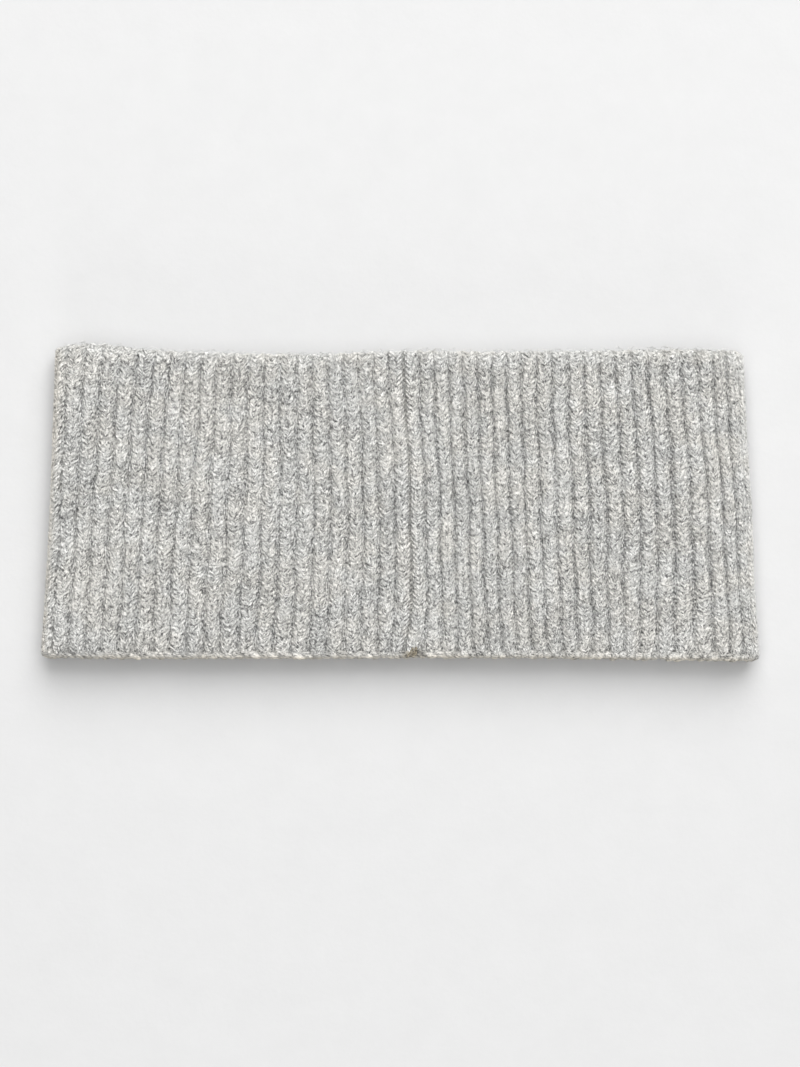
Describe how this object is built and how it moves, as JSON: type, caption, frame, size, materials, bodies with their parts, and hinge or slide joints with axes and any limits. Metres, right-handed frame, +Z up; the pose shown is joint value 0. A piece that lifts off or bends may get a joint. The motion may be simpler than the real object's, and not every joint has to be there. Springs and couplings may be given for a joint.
{
  "type": "ear warmer headband",
  "caption": "Ribbed knitted ear warmer headband, a loop that lies flattened with a thin hollow between its layers, a chained lower rim and a sewn seam.",
  "frame": {"origin": "on the surface that the band lies on, under the middle of its box", "axes": "+X from the left fold to the right fold, +Y from the chained lower rim to the upper rim, +Z up off the surface"},
  "size_m": [0.2392, 0.1052, 0.0138],
  "materials": {
    "rib_knit": "light heather grey wool yarn, one-by-one rib knit",
    "chain_knit": "the same grey yarn in a bound-off chain, slightly paler and warmer",
    "seam_yarn": "the same grey yarn, drawn tight in a sewn seam"
  },
  "bodies": {
    "root": {"ribbed_band": "rib_knit", "edge_chain": "chain_knit", "back_seam": "seam_yarn"}
  },
  "joints": []
}
